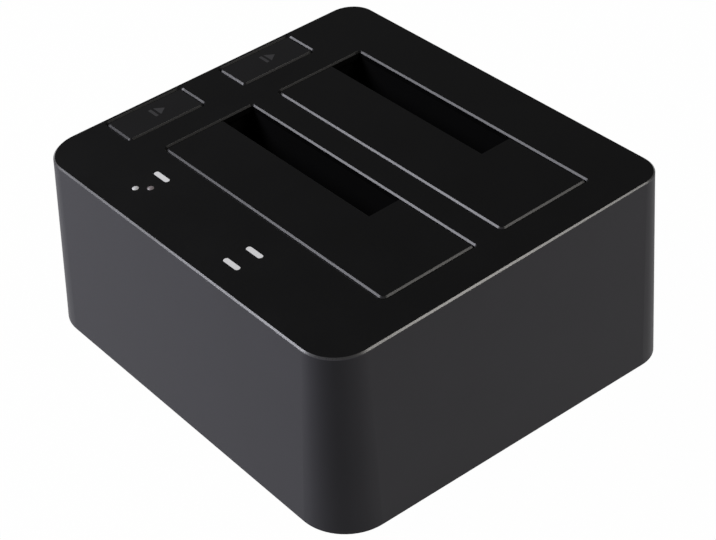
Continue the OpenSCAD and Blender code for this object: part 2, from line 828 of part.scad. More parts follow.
// Compression spring between the shelf and the cap of button i
module button_spring(i) {
  per_turn = 8;
  n = per_turn * button_turns;
  z0 = shelf_z(i) + button_wire / 2 + fit;
  z1 = cap_under(i) - button_coil_r * slope - button_wire / 2 - fit;
  r = button_coil_r;
  pts = [for (k = [0 : n])
    [r * cos(360 * k / per_turn), r * sin(360 * k / per_turn), z0 + (z1 - z0) * k / n]];
  us = [for (k = [0 : n]) [cos(360 * k / per_turn), sin(360 * k / per_turn), 0]];
  vs = [for (k = [0 : n]) [0, 0, -1]];
  echo(button_spring_least_gap = least_gap(pts, per_turn, button_wire));
  color("silver") translate([button_x, bay_ys[i] + spring_shift, 0])
    wire_tube(pts, us, vs, button_wire / 2);
}

// Rocker that the button presses on the left and that lifts the drive on the right
module eject_lever(i) {
  color("#d8d8d2") translate([lever_x, bay_ys[i], lever_z]) difference() {
    union() {
      translate([0, (hub_y0 + hub_y1) / 2, 0]) rod_y(hub_r, hub_y1 - hub_y0);
      span([-arm_in - arm_past, in_arm_y - arm_w / 2, -lever_t / 2], [0, in_arm_y + arm_w / 2, lever_t / 2]);
      translate([0, out_arm_y + arm_w / 2, 0]) rotate([90, 0, 0]) linear_extrude(arm_w)
        polygon([[0, -lever_t / 2], [lever_reach, 0], [lever_reach, tip_h], [lever_reach - tip_len, tip_h],
          [lever_reach - 2 * tip_len, lever_t / 2], [0, lever_t / 2]]);
    }
    translate([0, (hub_y0 + hub_y1) / 2, 0]) rod_y(lever_pin_r + fit, big);
  }
}

module lever_pin(i) {
  len = hub_y1 - hub_y0 + 2 * (run + ear_t);
  color("silver") translate([lever_x, bay_ys[i] + (hub_y0 + hub_y1) / 2, lever_z]) rod_y(lever_pin_r, len);
}

module main_board() {
  color("#1e5a34") difference() {
    translate([(board_x0 + board_x1) / 2, (board_y0 + board_y1) / 2, board_z])
      leaning_block(board_x1 - board_x0, board_y1 - board_y0, [board_r, board_r], board_t, 0);
    for (p = board_holes)
      translate([p[0], p[1], 0]) cylinder(r = board_screw_r + board_hole_gap, h = big);
  }
}

// Upright drive connector with two keyed slots and a guide prong at each end
module sata_socket(i) {
  color("#161618") translate([sata_x, sata_y(i), board_top]) difference() {
    union() {
      span([-sata_len / 2, -sata_wid / 2, 0], [sata_len / 2, sata_wid / 2, sata_h]);
      for (x = [-sata_len / 2, sata_len / 2 - sata_prong])
        span([x, sata_lip - sata_wid / 2, sata_h - eps],
          [x + sata_prong, sata_wid / 2 - sata_lip, sata_h + sata_prong_h]);
    }
    for (s = sata_slots()) {
      span([s[0], -sata_gap / 2, sata_h - sata_depth], [s[1], sata_gap / 2, big]);
      span([s[1] - key_len, -sata_gap / 2, sata_h - sata_depth], [s[1], sata_gap / 2 + key_out, big]);
    }
  }
}

// Ends of the two slots along the connector: the power slot first
function sata_slots() = let (gap = (sata_len - 2 * sata_prong - data_len - power_len) / 3,
  a = -sata_len / 2 + sata_prong + gap, b = a + power_len + gap)
  [[a, a + power_len], [b, b + data_len]];

// Contact blades on the front side of each slot
module sata_contacts() {
  z = board_top + sata_h - sata_depth;
  color("gold") for (i = [0, 1])
    for (s = sata_slots()) {
      count = floor((s[1] - s[0] - key_len - blade_end) / blade_pitch);
      for (k = [0 : count - 1])
        translate([sata_x + s[0] + blade_in + k * blade_pitch, sata_y(i) - sata_gap / 2, z]) cube(blade);
    }
}

// Outline of the square port's mouth: a wide lower part and a narrower upper part, with cut corners
module usb_mouth(grow) {
  w = usb_mouth_w / 2 + grow;
  n = usb_neck_w / 2 + grow;
  h1 = usb_mouth_h + grow;
  h2 = usb_neck_h + grow;
  c = usb_corner;
  polygon([[-w, -grow], [w, -grow], [w, h1 - c], [w - c, h1], [n, h1],
    [n, h2], [-n, h2], [-n, h1], [c - w, h1], [-w, h1 - c]]);
}

module usb_port_shell() {
  y0 = port_face - usb_len;
  color("silver") difference() {
    span([usb_x - usb_w / 2, y0, board_top], [usb_x + usb_w / 2, port_face, board_top + usb_h]);
    translate([usb_x, port_face + eps, board_top + usb_skin]) rotate([90, 0, 0])
      linear_extrude(usb_len - usb_skin + eps) usb_mouth(0);
  }
}

// Plastic block at the back of the port, with the lower and the upper tongue
module usb_port_insert() {
  front = port_face - usb_len + usb_skin + usb_block;
  tip = port_face - usb_tongue_in;
  color("#3a6ea5") translate([usb_x, 0, board_top + usb_skin]) {
    translate([0, front, 0]) rotate([90, 0, 0]) linear_extrude(usb_block) usb_mouth(-seat / 2);
    span([-usb_tongue_w / 2, front - eps, usb_tongue_z[0]], [usb_tongue_w / 2, tip, usb_tongue_z[1]]);
    span([-usb_rail_w / 2, front - eps, usb_rail_z[0]], [usb_rail_w / 2, tip, usb_rail_z[1]]);
  }
}

module dc_jack_body() {
  y1 = panel_in - seat;
  color("#18181a") difference() {
    union() {
      span([dc_x - dc_w / 2, y1 - dc_len + dc_nose, board_top], [dc_x + dc_w / 2, y1, board_top + dc_h]);
      translate([dc_x, port_face - 2 * dc_nose, dc_axis_z]) rod_y(dc_bore_r + dc_nose_wall, 4 * dc_nose);
    }
    translate([dc_x, port_face, dc_axis_z]) rod_y(dc_bore_r, 2 * dc_bore_len);
    span([dc_x - dc_w, port_face, 0], [dc_x + dc_w, big, big]);
  }
}

module dc_jack_pin() {
  len = dc_bore_len - dc_pin_in;
  color("gold") translate([dc_x, port_face - dc_bore_len, dc_axis_z]) {
    rotate([-90, 0, 0]) cylinder(r = dc_pin_r, h = len - dc_pin_r / 2);
    rotate([-90, 0, 0]) translate([0, 0, len - dc_pin_r / 2])
      cylinder(r1 = dc_pin_r, r2 = dc_pin_r / 2, h = dc_pin_r / 2);
  }
}

module power_switch_body() {
  y0 = panel_in - switch_len;
  w = rocker_w / 2 + rocker_play;
  h = rocker_h / 2 + run;
  color("#18181a") difference() {
    span([switch_x - switch_w / 2, y0, board_top],
      [switch_x + switch_w / 2, switch_face, board_top + switch_h]);
    translate([switch_x, 0, switch_axis_z]) {
      span([-w, rocker_axis_y - rocker_pivot_r - rocker_room, -h], [w, big, h]);
      translate([0, rocker_axis_y, 0])
        cylinder(r = rocker_pin_r + fit, h = switch_h - 2 * switch_wall, center = true);
    }
  }
}

// Rocker with two faces that meet in a shallow valley, at rest with its left end pressed
module power_switch_rocker() {
  w = rocker_w / 2;
  rise = w * tan(rocker_swing / 2);
  low = rocker_ends[0];
  high = rocker_ends[1];
  color("#202022") translate([switch_x, rocker_axis_y, switch_axis_z]) rotate([0, 0, rocker_swing / 2]) {
    linear_extrude(rocker_h, center = true)
      polygon([[low - w, -rocker_low], [w - low, -rocker_low], [w - high, rocker_valley + rise],
        [0, rocker_valley], [high - w, rocker_valley + rise]]);
    cylinder(r = rocker_pivot_r, h = rocker_h, center = true);
    cylinder(r = rocker_pin_r, h = switch_h - 2 * switch_wall - 2 * run, center = true);
  }
}

// Bridge controller, on the board between the two connectors
module bridge_chip() {
  x = chip[0] / 2;
  y = chip[1] / 2;
  a = chip_lead;
  color("#101012") translate([sata_x + chip_at[0], bay_ys[1] + chip_at[1], board_top]) {
    span([-x, -y, chip_lift], [x, y, chip[2]]);
    span([-x - a, a - y, 0], [x + a, y - a, chip_lead_t]);
    span([a - x, -y - a, 0], [x - a, y + a, chip_lead_t]);
  }
}

module power_inductor() {
  color("#3c3c40") translate([board_x1 - coil_in, strip_y, board_top]) difference() {
    translate([-coil[0] / 2, -coil[1] / 2, 0]) cube(coil);
    translate([0, 0, coil[2] - coil_dish]) cylinder(r = coil_dish_r, h = coil[2]);
  }
}

// Capacitors on the board in front of the wells, each a can with a crimp groove
module capacitors() {
  r = can_r;
  g = can_groove;
  z = can_groove_z;
  color("#2a3d66") for (x = [board_x0 + cans_left[0], board_x0 + cans_left[1], board_x1 - can_right])
    translate([x, strip_y, board_top]) rotate_extrude()
      polygon([[0, 0], [r, 0], [r, z], [r - g, z + g], [r - g, z + 2 * g], [r, z + 3 * g],
        [r, can_h - g], [r - g, can_h], [0, can_h]]);
}

module status_leds() {
  color("white") for (p = concat(windows, lenses))
    translate([p[0] - led_size[0] / 2, p[1] - led_size[1] / 2, board_top]) cube(led_size);
}

// Clear pipes that carry the light from the board up to the windows and lenses in the top
module light_pipes() {
  x = window_len / 2 + pipe_ledge;
  y = window_wid / 2 + pipe_ledge;
  color("#e8eef2") {
    for (p = windows)
      light_pipe(p, pipe_r) {
        intersection() {
          leaning_block(window_len - 2 * fit, window_wid - 2 * fit, [for (r = window_rs) r - fit],
            big / 2, 0);
          translate([-p[0], -p[1], 0]) below_top(0);
        }
        span([-x, -y, 0], [x, y, big / 2]);
      }
    for (p = lenses)
      light_pipe(p, lens_r - fit) {
        translate([-p[0], -p[1], 0]) on_slope(p) lens_head();
        cylinder(r = lens_r + pipe_ledge, h = big / 2);
      }
  }
}

// A pipe at place p: its head, the first child, stands in the top; its collar, the second, sits against
// the underside of the top; and its stem goes down to the lamp on the board
module light_pipe(p, stem_r) {
  z0 = board_top + led_size[2] + led_gap;
  low = top_t + pipe_ledge + pipe_head;
  difference() {
    translate([p[0], p[1], 0]) children(0);
    below_top(low);
  }
  intersection() {
    union() {
      translate([p[0], p[1], top_z(p[1]) - low]) children(1);
      translate([p[0], p[1], z0]) cylinder(r = stem_r, h = big / 2);
    }
    below_top(top_t);
  }
}

// A round head that ends in a low dome, square to the top
module lens_head() {
  r = lens_r - fit;
  deep = 2 * top_t;
  ball_r = (r * r + lens_dome * lens_dome) / (2 * lens_dome);
  intersection() {
    translate([0, 0, -deep]) cylinder(r = r, h = 2 * deep);
    union() {
      translate([0, 0, lens_dome - ball_r]) sphere(ball_r);
      translate([0, 0, -deep - lens_dome]) cylinder(r = 2 * r, h = deep);
    }
  }
}

module rubber_feet() {
  h = foot_h + foot_pocket;
  color("#0e0e0f") for (p = feet_at)
    translate([p[0], p[1], 0]) rotate_extrude()
      polygon([[0, 0], [foot_r - foot_edge, 0], [foot_r, foot_edge], [foot_r, h], [0, h]]);
}

module case_screws() {
  z = foot_h + screw_head_h;
  color("silver") for (p = post_at)
    translate([p[0], p[1], 0]) difference() {
      union() {
        translate([0, 0, foot_h + screw_sink]) cylinder(r = screw_head_r, h = screw_head_h - screw_sink);
        translate([0, 0, z - eps]) cylinder(r = screw_r, h = screw_len - base_t / 2);
      }
      cross_recess(foot_h + screw_sink);
    }
}

module board_screws() {
  color("silver") for (p = board_holes)
    translate([p[0], p[1], 0]) difference() {
      union() {
        translate([0, 0, board_top]) cylinder(r = board_screw_head_r, h = board_screw_head_h);
        translate([0, 0, floor_z + screw_sink]) cylinder(r = board_screw_r, h = board_top - floor_z);
      }
      cross_recess(board_top + board_screw_head_h);
    }
}

// Cross slot in a screw head, centred on the height z
module cross_recess(z) {
  for (a = [0, 90])
    rotate([0, 0, a]) translate([-recess_long / 2, -recess_thin / 2, z - recess_deep])
      cube([recess_long, recess_thin, 2 * recess_deep]);
}

module front_bay_well() { bay_well(0); }
module rear_bay_well() { bay_well(1); }
module front_flap() { flap(0); }
module rear_flap() { flap(1); }
module front_flap_pin() { flap_pin(0); }
module rear_flap_pin() { flap_pin(1); }
module front_flap_spring() { flap_spring(0); }
module rear_flap_spring() { flap_spring(1); }
module front_eject_button() { eject_button(0); }
module rear_eject_button() { eject_button(1); }
module front_eject_lever() { eject_lever(0); }
module rear_eject_lever() { eject_lever(1); }
module front_lever_pin() { lever_pin(0); }
module rear_lever_pin() { lever_pin(1); }
module front_button_spring() { button_spring(0); }
module rear_button_spring() { button_spring(1); }
module front_sata_socket() { sata_socket(0); }
module rear_sata_socket() { sata_socket(1); }

upper_shell();
base_plate();
front_bay_well();
rear_bay_well();
front_flap();
rear_flap();
front_flap_pin();
rear_flap_pin();
front_flap_spring();
rear_flap_spring();
front_eject_button();
rear_eject_button();
front_eject_lever();
rear_eject_lever();
front_lever_pin();
rear_lever_pin();
front_button_spring();
rear_button_spring();
main_board();
front_sata_socket();
rear_sata_socket();
sata_contacts();
usb_port_shell();
usb_port_insert();
dc_jack_body();
dc_jack_pin();
power_switch_body();
power_switch_rocker();
bridge_chip();
power_inductor();
capacitors();
status_leds();
light_pipes();
rubber_feet();
case_screws();
board_screws();
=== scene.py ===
"""Looks of a dual-bay docking station for upright drives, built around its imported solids."""
import math

import bpy
import numpy as np
from mathutils import Matrix, Vector


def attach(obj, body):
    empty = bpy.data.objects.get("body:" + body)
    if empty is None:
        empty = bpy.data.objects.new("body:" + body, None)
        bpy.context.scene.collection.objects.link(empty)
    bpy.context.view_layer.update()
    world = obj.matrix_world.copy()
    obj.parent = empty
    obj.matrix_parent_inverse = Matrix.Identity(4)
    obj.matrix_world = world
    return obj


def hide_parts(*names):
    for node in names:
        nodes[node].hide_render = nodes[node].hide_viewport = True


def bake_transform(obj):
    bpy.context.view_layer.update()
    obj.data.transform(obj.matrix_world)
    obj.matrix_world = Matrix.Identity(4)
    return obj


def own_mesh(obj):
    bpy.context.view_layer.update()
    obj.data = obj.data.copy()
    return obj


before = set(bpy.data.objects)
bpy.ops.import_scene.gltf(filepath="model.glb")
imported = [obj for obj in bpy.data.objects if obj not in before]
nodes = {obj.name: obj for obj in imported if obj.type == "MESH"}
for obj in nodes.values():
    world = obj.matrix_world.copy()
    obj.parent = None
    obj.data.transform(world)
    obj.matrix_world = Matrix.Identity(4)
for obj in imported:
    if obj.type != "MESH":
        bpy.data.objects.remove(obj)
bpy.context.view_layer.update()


# Base plate: the flat bottom cover, moulded in matt black plastic with posts for the board and ears for
# the levers' pivots. Four screws from below hold it to the housing.
class Tone:
    """One shader socket. Sums of sockets and numbers add Math nodes; node() adds any other node."""

    def __init__(self, tree, socket=None):
        self.tree, self.socket = tree, socket

    def node(self, kind, settings=None, inputs=None, out=0):
        """Adds a node of this kind, its settings first and then its inputs, and gives one of its outputs."""
        made = self.tree.nodes.new("ShaderNode" + kind)
        for key, value in (settings or {}).items():
            setattr(made, key, value)
        for key, value in (inputs or {}).items():
            if isinstance(value, Tone):
                self.tree.links.new(value.socket, made.inputs[key])
            else:
                made.inputs[key].default_value = value
        return Tone(self.tree, made.outputs[out])

    def math(self, operation, a, b=0.0):
        """One Math node on a and b; an operation on one number leaves b out."""
        return self.node("Math", {"operation": operation}, {0: a, 1: b})

    def __add__(self, other):
        return self.math("ADD", self, other)

    def __sub__(self, other):
        return self.math("SUBTRACT", self, other)

    def __rsub__(self, other):
        return self.math("SUBTRACT", other, self)

    def __mul__(self, other):
        return self.math("MULTIPLY", self, other)

    __radd__, __rmul__ = __add__, __mul__

    def step(self, low, high):
        """0 at low and beyond it, 1 at high and beyond it, with a smooth change between; either may be larger,
        and the change is three times the square less twice the cube of the way."""
        first, last = (0.0, 1.0) if low < high else (1.0, 0.0)
        return self.node("MapRange", {"interpolation_type": "SMOOTHSTEP"},
                         {0: self, 1: min(low, high), 2: max(low, high), 3: first, 4: last})

    def split(self):
        """The three parts of a vector."""
        parts = self.node("SeparateXYZ", inputs={0: self}).socket.node.outputs
        return [Tone(self.tree, part) for part in parts]

    def blend(self, a, b):
        """Colour a where this is 0, and colour b where it is 1."""
        return self.node("Mix", {"data_type": "RGBA"}, {0: self, 6: a, 7: b}, out=2)


def finish(name):
    """An empty material, a Tone on its tree, and its Object coordinates as a second Tone."""
    made = bpy.data.materials.new(name)
    made.use_nodes = True
    made.node_tree.nodes.clear()
    tone = Tone(made.node_tree)
    return made, tone, tone.node("TexCoord", out=3)


def close(tone, shader, kind="OutputMaterial"):
    """Links the finished shader to the tree's output."""
    tone.tree.links.new(shader.socket, tone.tree.nodes.new("ShaderNode" + kind).inputs[0])


def grey(value, blue=0.0):
    """A near neutral of this value: its green a little lower, and its blue raised by the given share."""
    return (value, value * 0.985, value * (1 + blue), 1.0)


def plastic(tone, place, colour, rough, level, grain, depth):
    """Moulded plastic: a spark-eroded grain of the given size lifts the surface by depth,
    a slow drift of tone and sheen runs over it, and level sets how much it mirrors."""
    fine = tone.node("TexNoise", inputs={"Vector": place, "Scale": 1 / grain, "Detail": 3.0})
    slow = tone.node("TexNoise", inputs={"Vector": place, "Scale": 45.0, "Detail": 2.0})
    dark = tuple(0.9 * c for c in colour[:3]) + (1.0,)
    light = tuple(1.1 * c for c in colour[:3]) + (1.0,)
    bump = tone.node("Bump", inputs={"Strength": 0.6, "Distance": depth, "Height": fine})
    return tone.node("BsdfPrincipled", inputs={
        "Base Color": slow.blend(dark, light), "Roughness": rough + (fine - 0.5) * 0.12 + (slow - 0.5) * 0.08,
        "Specular IOR Level": level, "Normal": bump})


def plain_plastic(name, colour, rough=0.5, level=0.3, grain=0.0004, depth=0.00002):
    """One moulded plastic all over a piece."""
    made, tone, place = finish(name)
    close(tone, plastic(tone, place, colour, rough, level, grain, depth))
    return made


def dress(material, *names):
    """Gives these solids their finish."""
    for name in names:
        nodes[name].data.materials.clear()
        nodes[name].data.materials.append(material)


dress(plain_plastic("base_matt_black", grey(0.018), rough=0.6), "base_plate")


# Feet: four soft black rubber discs, pressed into pockets of the base plate. Each is moulded with fine
# rings round its middle, so that it grips the desk, and dust greys the rings.
FOOT_AT = 0.049, 0.0475   # of a foot's middle from the middle of the object, along x and y
RING = 0.001              # from one ring to the next


def away_from(tone, x, y, middle):
    """Distance of the point x, y from the given middle: the root of the sum of the squares along x and y."""
    out_x, out_y = x - middle[0], y - middle[1]
    return tone.math("SQRT", out_x * out_x + out_y * out_y)


def foot_finish():
    """Rubber whose height is a sine of the distance from its foot's middle, with dust on the crests."""
    made, tone, place = finish("foot_rubber")
    x, y, _ = place.split()
    away = away_from(tone, tone.math("ABSOLUTE", x), tone.math("ABSOLUTE", y), FOOT_AT)
    rings = tone.math("SINE", away * (2 * math.pi / RING)) * 0.5 + 0.5
    dust = tone.node("TexNoise", inputs={"Vector": place, "Scale": 900.0, "Detail": 4.0})
    bump = tone.node("Bump", inputs={"Strength": 0.8, "Distance": 0.0001, "Height": rings + dust * 0.3})
    close(tone, tone.node("BsdfPrincipled", inputs={
        "Base Color": (rings * dust).blend(grey(0.009), grey(0.030)), "Roughness": 0.7 + dust * 0.2,
        "Specular IOR Level": 0.2, "Normal": bump}))
    return made


dress(foot_finish(), "rubber_feet")


# Screws and pins: the screws of the case and the board, the hinge pins of the flaps and the pivots of the
# levers. All are turned from drawn steel and plated with zinc.
def steel(name, colour, rough, mark):
    """Bright metal: fine noise of the size of mark lifts it by a hair and varies its roughness, and slow
    noise dulls its colour in places."""
    made, tone, place = finish(name)
    fine = tone.node("TexNoise", inputs={"Vector": place, "Scale": 1 / mark, "Detail": 4.0})
    slow = tone.node("TexNoise", inputs={"Vector": place, "Scale": 300.0})
    bump = tone.node("Bump", inputs={"Strength": 0.3, "Distance": 0.00001, "Height": fine})
    dull = tuple(0.8 * c for c in colour) + (1.0,)
    close(tone, tone.node("BsdfPrincipled", inputs={
        "Base Color": slow.blend(dull, colour + (1.0,)), "Metallic": 1.0,
        "Roughness": rough + (fine - 0.5) * 0.2, "Normal": bump}))
    return made


zinc_steel = steel("zinc_steel", (0.58, 0.58, 0.60), rough=0.32, mark=0.00015)
dress(zinc_steel, "case_screws", "board_screws",
      "front_flap_pin", "rear_flap_pin", "front_lever_pin", "rear_lever_pin")


# Circuit board: glass-fibre laminate under green solder mask, with copper tracks just showing through it.
# Four screws hold it to posts of the base plate, below the wells.
def board_finish():
    """Solder mask: the joints of a brick pattern stand for the tracks, which lift and lighten it."""
    made, tone, place = finish("board_solder_mask")
    tracks = tone.node("TexBrick", {"offset": 0.5, "squash": 1.0}, {
        "Vector": place, "Color1": (0, 0, 0, 1), "Color2": (0.3, 0.3, 0.3, 1), "Mortar": (1, 1, 1, 1),
        "Scale": 160.0, "Mortar Size": 0.03}, out=1)
    fine = tone.node("TexNoise", inputs={"Vector": place, "Scale": 2500.0})
    bump = tone.node("Bump", inputs={"Strength": 0.5, "Distance": 0.00003, "Height": tracks + fine * 0.2})
    close(tone, tone.node("BsdfPrincipled", inputs={
        "Base Color": tracks.blend((0.010, 0.075, 0.030, 1), (0.022, 0.13, 0.05, 1)),
        "Roughness": 0.32 + fine * 0.1, "Normal": bump}))
    return made


dress(board_finish(), "main_board")


# Parts on the board: the bridge chip in moulded epoxy, the shielded coil, three capacitor cans in blue
# sleeves and five lamps in pale resin below the light pipes. All are soldered to the board's upper side.
dress(plain_plastic("chip_epoxy", grey(0.014), rough=0.55), "bridge_chip")
dress(plain_plastic("coil_ferrite", (0.045, 0.045, 0.05, 1), rough=0.45, level=0.4, grain=0.0003),
      "power_inductor")
dress(plain_plastic("can_sleeve", (0.015, 0.030, 0.085, 1), rough=0.3, level=0.5, grain=0.0006, depth=0.00001),
      "capacitors")
dress(plain_plastic("lamp_resin", (0.75, 0.74, 0.66, 1), rough=0.3, level=0.5), "status_leds")


# Drive connectors: upright sockets in black liquid-crystal polymer, soldered to the board at the foot of
# each well, with a row of gold-flashed contact blades along each.
dress(plain_plastic("socket_polymer", grey(0.010), rough=0.5, level=0.35),
      "front_sata_socket", "rear_sata_socket")
contact_gold = steel("contact_gold", (0.80, 0.55, 0.22), rough=0.25, mark=0.0001)
dress(contact_gold, "sata_contacts")


# Data port: a tinned steel shell round a tongue and a rail in blue plastic, in the recess at the rear.
# Gold-flashed contact leaves lie on both sides of the tongue and under the rail above it.
PORT_X, TONGUE_Z, RAIL_Z = 0.002, (0.0108, 0.0139), 0.0170   # middle, lower and upper side of tongue, rail
PAIR, FIVE = np.linspace(-0.00125, 0.00125, 2), np.linspace(-0.0015, 0.0015, 5)   # leaves side by side
RIGHTWARD = np.array([1.0, 0, 0])

dress(steel("port_tinplate", (0.66, 0.66, 0.66), rough=0.28, mark=0.0002), "usb_port_shell")
dress(plain_plastic("port_blue", (0.015, 0.08, 0.33, 1), rough=0.4, level=0.4), "usb_port_insert")


def place_mesh(name, points, faces, material):
    """A piece from its points, in metres where it stands, and its faces, which are shaded smooth."""
    mesh = bpy.data.meshes.new(name)
    mesh.from_pydata(np.asarray(points).reshape(-1, 3).tolist(), [], [list(map(int, f)) for f in faces])
    mesh.polygons.foreach_set("use_smooth", np.ones(len(mesh.polygons), bool))
    mesh.materials.append(material)
    mesh.update()
    piece = bpy.data.objects.new(name, mesh)
    bpy.context.scene.collection.objects.link(piece)
    return piece


def wires(name, paths, axis, radius, material, flat=1.0, sides=12):
    """Wires along paths of as many points each. Every ring lies across its path: its first axis is the
    part of axis that is square to the path, and its second, flat times as long, is square to both.
    The ends are closed."""
    paths = np.asarray(paths, float)
    count, steps = paths.shape[:2]
    ahead = np.gradient(paths, axis=1)
    ahead /= np.linalg.norm(ahead, axis=2, keepdims=True)
    u = axis - (ahead @ axis)[..., None] * ahead
    u /= np.linalg.norm(u, axis=2, keepdims=True)
    v = np.cross(ahead, u)
    turn = np.linspace(0, 2 * np.pi, sides, endpoint=False)[:, None]
    rings = paths[:, :, None] + radius * (np.cos(turn) * u[:, :, None] + flat * np.sin(turn) * v[:, :, None])
    w, i, k = np.meshgrid(np.arange(count), np.arange(steps - 1), np.arange(sides), indexing="ij")
    here, onward = (w * steps + i) * sides, (k + 1) % sides
    quads = np.stack([here + k, here + onward, here + sides + onward, here + sides + k], -1).reshape(-1, 4)
    start = np.arange(count)[:, None] * steps * sides + np.arange(sides)[::-1]
    end = start[:, ::-1] + (steps - 1) * sides
    return place_mesh(name, rings, list(quads) + list(start) + list(end), material)


def contact_row(name, xs, z, into, half_width):
    """Leaves along y at height z: straight, but over the last stretch the tip bends into the plastic as
    the square of the way along it, down where into is -1 and up where it is 1."""
    root, tip, bend, dip, points = 0.0540, 0.0624, 0.0008, 0.0002, 24
    y = np.linspace(root, tip, points)
    curl = np.clip((y - tip + bend) / bend, 0, 1) ** 2
    paths = [np.stack([np.full(points, x), y, z + into * dip * curl], 1) for x in xs]
    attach(wires(name, paths, RIGHTWARD, half_width, contact_gold, flat=0.15), "housing")


contact_row("upper_tongue_contacts", PORT_X + PAIR, TONGUE_Z[1], -1, 0.0005)
contact_row("lower_tongue_contacts", PORT_X + PAIR, TONGUE_Z[0], 1, 0.0005)
contact_row("rail_contacts", PORT_X + FIVE, RAIL_Z, 1, 0.00022)


# Power inlet: a moulded black jack with a gold-flashed centre pin, in the recess at the rear. A steel leaf
# bows up from the bottom of its bore to meet the plug: its height is the square of a half sine along y.
INLET_X, INLET_Z, BORE_DROP = 0.028, 0.0145, 0.00285   # middle of the bore, and the leaf's depth below it
LEAF_Y, LEAF_RISE, LEAF_POINTS = (0.0550, 0.0636), 0.0007, 30

inlet_black = plain_plastic("inlet_black", grey(0.012), rough=0.4, level=0.4)
dress(inlet_black, "dc_jack_body")
dress(contact_gold, "dc_jack_pin")
bow = LEAF_RISE * np.sin(np.linspace(0, math.pi, LEAF_POINTS)) ** 2
leaf_y = np.linspace(*LEAF_Y, LEAF_POINTS)
leaf = np.stack([np.full(LEAF_POINTS, INLET_X), leaf_y, INLET_Z - BORE_DROP + bow], 1)
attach(wires("inlet_leaf", [leaf], RIGHTWARD, 0.001, zinc_steel, flat=0.12), "housing")


# Power switch: a black rocker that tips on its pivot in a moulded frame, in the recess at the rear.
# Its two usual marks, a bar and a ring, are printed on it in white.
ROCKER_AXIS = np.array([-0.026, 0.0629, 0.0131])
ROCKER_TURN, ROCKER_RISE = math.radians(9), math.radians(9.32)   # turn at rest, and rise of its two faces
VALLEY, INK = 0.0012, 0.00002          # lowest line of the faces above the axis, and the ink above a face
MARK_OUT = 0.0030                      # middle of each mark, to either side of the axis
BAR_HALF, RING_R, RING_SIDES = (0.0002, 0.0011), (0.0009, 0.0012), 40

dress(inlet_black, "power_switch_body")
dress(plain_plastic("rocker_black", grey(0.016), rough=0.35, level=0.4), "power_switch_rocker")


def on_rocker(across, up):
    """Points of the rocker's outer faces, which rise from a valley over its axis, a hair above them: the
    height grows with the distance across, and the whole is then turned about the axis."""
    out = VALLEY + np.abs(across) * math.tan(ROCKER_RISE) + INK
    c, s = math.cos(ROCKER_TURN), math.sin(ROCKER_TURN)
    return np.stack([c * across - s * out, s * across + c * out, up], -1).reshape(-1, 3) + ROCKER_AXIS


white_ink = plain_plastic("white_ink", grey(0.55), rough=0.5, level=0.3, grain=0.0003, depth=0.000005)
bar = on_rocker(MARK_OUT + BAR_HALF[0] * np.array([-1, 1, 1, -1]), BAR_HALF[1] * np.array([1, 1, -1, -1]))
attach(place_mesh("rocker_bar_mark", bar, [range(4)], white_ink), "switch_rocker")
around = np.linspace(0, 2 * math.pi, RING_SIDES, endpoint=False)
ring_r, ring_a = np.meshgrid(RING_R, around, indexing="ij")
ring = on_rocker(-MARK_OUT + ring_r * np.cos(ring_a), ring_r * np.sin(ring_a))
k = np.arange(RING_SIDES)
onward = (k + 1) % RING_SIDES
ring_faces = np.stack([k, onward, RING_SIDES + onward, RING_SIDES + k], 1)
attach(place_mesh("rocker_ring_mark", ring, ring_faces, white_ink), "switch_rocker")


# Wells below the bays: open-topped black mouldings, dead matt inside, their black deepened as painted shade in
# the slots, each on four legs on the base plate. They guide the drives down to the connectors, hold the hinge
# pins and carry the buttons' shelves.
dress(plain_plastic("well_black_painted_shade", grey(0.0015), rough=0.75, level=0.03),
      "front_bay_well", "rear_bay_well")


# Eject levers: rockers moulded in natural acetal, off-white and a little waxy. Each turns on its pin in two
# ears of the base plate: the button presses one end, and the other lifts the drive.
dress(plain_plastic("lever_acetal", (0.62, 0.61, 0.56, 1), rough=0.4, level=0.4),
      "front_eject_lever", "rear_eject_lever")


# Springs: coiled steel wire. A torsion spring round each hinge pin closes its flap. A compression spring on
# each shelf returns its button.
TOP_Z, SLOPE = 0.065507, 0.0466926   # height of the top face above the desk at y = 0, and its rise along y
BAY_X, BAYS = 0.007, (("front", -0.0181), ("rear", 0.0265))   # middles of the bays along x and y


def top_z(y):
    """Height of the sloped top face: a straight line in y."""
    return TOP_Z + SLOPE * y


def flap_spring(side, bay_y):
    """Torsion spring in the sloped frame of the top: a leg up the front wall, a helix of eight and a
    quarter turns round the hinge pin, and a leg under the flap."""
    coil_r, wire_r, pitch, turns, per_turn = 0.0017, 0.00025, 0.00096, 8.25, 20
    leg, leg_gap, leg_points = 0.008, 0.0002, 8
    hinge_v, hinge_drop, tilt = -0.0146, 0.004, math.atan(SLOPE)
    t = np.linspace(0, 1, int(turns * per_turn) + 1)
    a = np.pi - 2 * np.pi * turns * t
    coil = np.stack([pitch * turns * (t - 0.5), coil_r * np.cos(a), coil_r * np.sin(a)], 1)
    up = np.linspace(-leg, -leg_gap, leg_points)
    out = np.linspace(leg_gap, leg, leg_points)
    first = np.stack([np.full(leg_points, coil[0, 0]), np.full(leg_points, -coil_r), up], 1)
    last = np.stack([np.full(leg_points, coil[-1, 0]), out, np.full(leg_points, coil_r)], 1)
    path = np.concatenate([first, coil, last]) + [0, hinge_v, -hinge_drop]
    c, s = math.cos(tilt), math.sin(tilt)
    path = path @ np.array([[1, 0, 0], [0, c, s], [0, -s, c]]) + [BAY_X, bay_y, top_z(bay_y)]
    made = wires(side + "_flap_torsion_spring", [path], RIGHTWARD, wire_r, zinc_steel)
    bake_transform(made)
    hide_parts(side + "_flap_spring")


